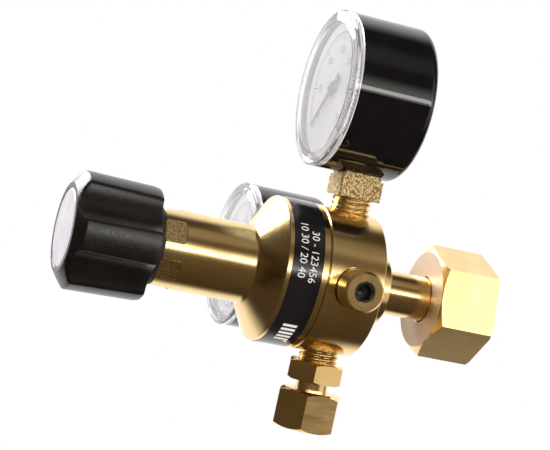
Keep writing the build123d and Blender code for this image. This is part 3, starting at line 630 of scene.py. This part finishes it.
def dial_marks(side, top_value, numbers, parts):
    """A generic scale from 0 to top_value and a red zone, printed just above a dial."""
    centre, right, up, out = gauge_map(side)
    low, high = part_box(f"{side}_gauge_dial")
    height = (high.x - low.x) / 2 + 0.03 * MM
    ink = Print()
    edge = 18.6 * MM
    ink.sweep(-135, 135, edge, edge + 0.25 * MM)
    for step in range(parts + 1):
        angle = -135 + 270 * step / parts
        long = step % (parts // numbers) == 0
        inner = edge - (3.0 if long else 1.8) * MM
        ink.bar(angle, inner, edge + 0.2 * MM, (0.45 if long else 0.22) * MM)
    for step in range(numbers + 1):
        lean = radians(90 - (-135 + 270 * step / numbers))
        value = str(round(top_value * step / numbers))
        ink.words(value, 3.4 * MM, 12.8 * MM * cos(lean), 12.8 * MM * sin(lean))
    piece = ink.piece(f"{side}_dial_scale", centre, right, up, out, height)
    add_piece(piece, dial_ink, "body")
    zone = Print()
    zone.sweep(90, 135, edge + 0.45 * MM, edge + 1.3 * MM, 20)
    piece = zone.piece(f"{side}_dial_zone", centre, right, up, out, height)
    add_piece(piece, dial_red, "body")


dial_marks("top", 300, 6, 60)
dial_marks("back", 30, 6, 60)


# ---------------------------------------------------------------- label band


def band_marks():
    """Generic figures and bars, wrapped round the black band on the bonnet."""
    low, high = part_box("label_band")
    radius = high.z + 0.02 * MM
    middle = (low.x + high.x) / 2
    width = high.x - low.x
    ink = Print()
    ink.words("30 - 123456", 3.5 * MM, 1.0 * MM, 0.18 * width)
    ink.words("10 30 / 20 40", 3.5 * MM, -1.0 * MM, -0.18 * width)
    for step in range(5):
        ink.block(24.6 * MM + step * 1.9 * MM, -0.2 * width, 1.1 * MM, 4.6 * MM)
    points = []
    for along, across in ink.points:
        angle = BAND_START + along / radius
        points.append(Vector((middle + across, -radius * cos(angle), -radius * sin(angle))))
    piece = add_mesh("band_marks", points, ink.faces)
    add_piece(piece, band_ink, "body")


BAND_START = radians(-21)
band_marks()


# ---------------------------------------------------------------- camera and light


def look(piece, place, target):
    """Puts a camera or light at a place, facing a target."""
    piece.location = place
    piece.rotation_mode = "QUATERNION"
    piece.rotation_quaternion = (Vector(target) - Vector(place)).to_track_quat("-Z", "Y")


AIM = Vector((-0.0614, 0.0041, 0.0138))
CAMERA_AZIMUTH = -18.86
CAMERA_ELEVATION = 1.08
CAMERA_DISTANCE = 0.5631
CAMERA_ROLL = 12.24
CAMERA_LENS = 115.47


def place_round(azimuth, elevation, distance):
    """A point round AIM: azimuth 0 is at -Y, positive towards +X."""
    turn, rise = radians(azimuth), radians(elevation)
    return AIM + Vector((sin(turn) * cos(rise), -cos(turn) * cos(rise), sin(rise))) * distance


def add_camera():
    data = bpy.data.cameras.new("camera")
    data.sensor_width = 36.0
    data.lens = CAMERA_LENS
    data.clip_start = 0.01
    camera = bpy.data.objects.new("camera", data)
    bpy.context.scene.collection.objects.link(camera)
    look(camera, place_round(CAMERA_AZIMUTH, CAMERA_ELEVATION, CAMERA_DISTANCE), AIM)
    spin = Matrix.Rotation(radians(CAMERA_ROLL), 3, "Z").to_quaternion()
    camera.rotation_quaternion = camera.rotation_quaternion @ spin
    bpy.context.scene.camera = camera


def add_light(name, azimuth, elevation, distance, width, height, power):
    """An area light aimed at the object, unseen by the camera itself."""
    data = bpy.data.lights.new(name, "AREA")
    data.shape = "RECTANGLE"
    data.size = width
    data.size_y = height
    data.energy = power
    light = bpy.data.objects.new(name, data)
    bpy.context.scene.collection.objects.link(light)
    look(light, place_round(azimuth, elevation, distance), AIM)
    light.visible_camera = False
    return light


class Sky:
    """Brightness of the studio as a function of direction, built from soft windows."""

    def __init__(self, tree):
        self.tree = tree
        place = tree.nodes.new("ShaderNodeTexCoord")
        self.way = place.outputs["Generated"]
        apart = tree.nodes.new("ShaderNodeSeparateXYZ")
        tree.links.new(self.way, apart.inputs["Vector"])
        self.axes = apart.outputs
        front = self.math("MULTIPLY", self.axes["Y"], -1.0)
        self.rise = self.math("ARCTAN2", self.axes["Z"], front)
        self.turn = self.math("ARCTAN2", self.axes["X"], front)

    def math(self, operation, first, second):
        node = self.tree.nodes.new("ShaderNodeMath")
        node.operation = operation
        for slot, value in zip(node.inputs, (first, second)):
            if isinstance(value, (int, float)):
                slot.default_value = value
            else:
                self.tree.links.new(value, slot)
        return node.outputs[0]

    def step(self, source, start, end):
        """0 before start, 1 after end, smooth between; start may lie beyond end to fall instead."""
        node = self.tree.nodes.new("ShaderNodeMapRange")
        node.interpolation_type = "SMOOTHSTEP"
        low, high = min(start, end), max(start, end)
        node.inputs["From Min"].default_value = low
        node.inputs["From Max"].default_value = high
        node.inputs["To Min"].default_value = 0.0 if start < end else 1.0
        node.inputs["To Max"].default_value = 1.0 if start < end else 0.0
        self.tree.links.new(source, node.inputs["Value"])
        return node.outputs["Result"]

    def window(self, source, edges):
        """Rises between the first two edges and falls between the last two, in degrees."""
        up = self.step(source, radians(edges[0]), radians(edges[1]))
        down = self.step(source, radians(edges[3]), radians(edges[2]))
        return self.math("MULTIPLY", up, down)

    def box(self, rise_edges, turn_edges):
        """A soft-edged patch of sky, bounded in rise and turn."""
        return self.math("MULTIPLY", self.window(self.rise, rise_edges), self.window(self.turn, turn_edges))

    def glow(self, mask, strength, colour):
        """A light of one colour, as strong as its mask."""
        light = self.tree.nodes.new("ShaderNodeBackground")
        light.inputs["Color"].default_value = (*colour, 1)
        self.tree.links.new(self.math("MULTIPLY", mask, strength), light.inputs["Strength"])
        return light.outputs["Background"]

    def sum(self, lights):
        total = lights[0]
        for light in lights[1:]:
            node = self.tree.nodes.new("ShaderNodeAddShader")
            self.tree.links.new(total, node.inputs[0])
            self.tree.links.new(light, node.inputs[1])
            total = node.outputs["Shader"]
        return total


def add_world():
    world = bpy.data.worlds.new("studio")
    world.use_nodes = True
    tree = world.node_tree
    tree.nodes.clear()
    sky = Sky(tree)
    away = tree.nodes.new("ShaderNodeVectorMath")
    away.operation = "DOT_PRODUCT"
    away.inputs[1].default_value = (AIM - place_round(CAMERA_AZIMUTH, CAMERA_ELEVATION, 1.0)).normalized()
    tree.links.new(sky.way, away.inputs[0])
    behind = sky.step(away.outputs["Value"], 0.28, 0.68)
    long_box = sky.box((2, 6, 12, 32), (-62, -40, 70, 95))
    upper_box = sky.box((42, 55, 70, 95), (-80, -30, 40, 80))
    tube_lamp = sky.box((8, 8.6, 12, 12.6), (-30, -28, 42, 44))
    right_card = sky.box((-40, -25, 40, 60), (34, 40, 80, 100))
    lights = [
        sky.glow(behind, 1.25, (1.0, 0.97, 0.98)),
        sky.glow(long_box, 1.9, (1.0, 0.98, 0.92)),
        sky.glow(tube_lamp, 7.0, (1.0, 0.99, 0.97)),
        sky.glow(upper_box, 0.22, (1.0, 0.95, 0.85)),
        sky.glow(right_card, 0.75, (1.0, 0.95, 0.9)),
        sky.glow(sky.step(away.outputs["Value"], 2.0, -2.0), 0.14, (1.0, 0.74, 0.48)),
    ]
    seen = tree.nodes.new("ShaderNodeBackground")
    seen.inputs["Color"].default_value = (1, 1, 1, 1)
    path = tree.nodes.new("ShaderNodeLightPath")
    mix = tree.nodes.new("ShaderNodeMixShader")
    out = tree.nodes.new("ShaderNodeOutputWorld")
    tree.links.new(path.outputs["Is Camera Ray"], mix.inputs["Fac"])
    tree.links.new(sky.sum(lights), mix.inputs[1])
    tree.links.new(seen.outputs["Background"], mix.inputs[2])
    tree.links.new(mix.outputs["Shader"], out.inputs["Surface"])
    bpy.context.scene.world = world


FLOOR_Z = -0.36
FLOOR_HALF = 1.1


def add_floor():
    """Plain pale floor, low enough that the camera's view of the object clears it."""
    corners = [(x * FLOOR_HALF, y * FLOOR_HALF, FLOOR_Z) for x, y in ((-1, -1), (1, -1), (1, 1), (-1, 1))]
    floor = add_mesh("floor", corners, [(0, 1, 2, 3)])
    floor.data.materials.append(floor_paint)
    floor.visible_glossy = False


floor_paint = plastic_paint("floor_pale", (0.86, 0.86, 0.86), (0.82, 0.82, 0.83), 0.6, 0.8, 40.0, 0.02)

add_camera()
add_world()
add_floor()
add_light("left_box", -148, 35, 0.9, 0.6, 0.6, 12.0)
overhead = add_light("overhead_sheet", 0, 85, 1.3, 1.6, 1.6, 16.0)
overhead.visible_glossy = False

bpy.context.scene.view_settings.view_transform = "Standard"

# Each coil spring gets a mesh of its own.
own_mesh(nodes["main_spring"])
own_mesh(nodes["valve_spring"])
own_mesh(nodes["relief_spring"])
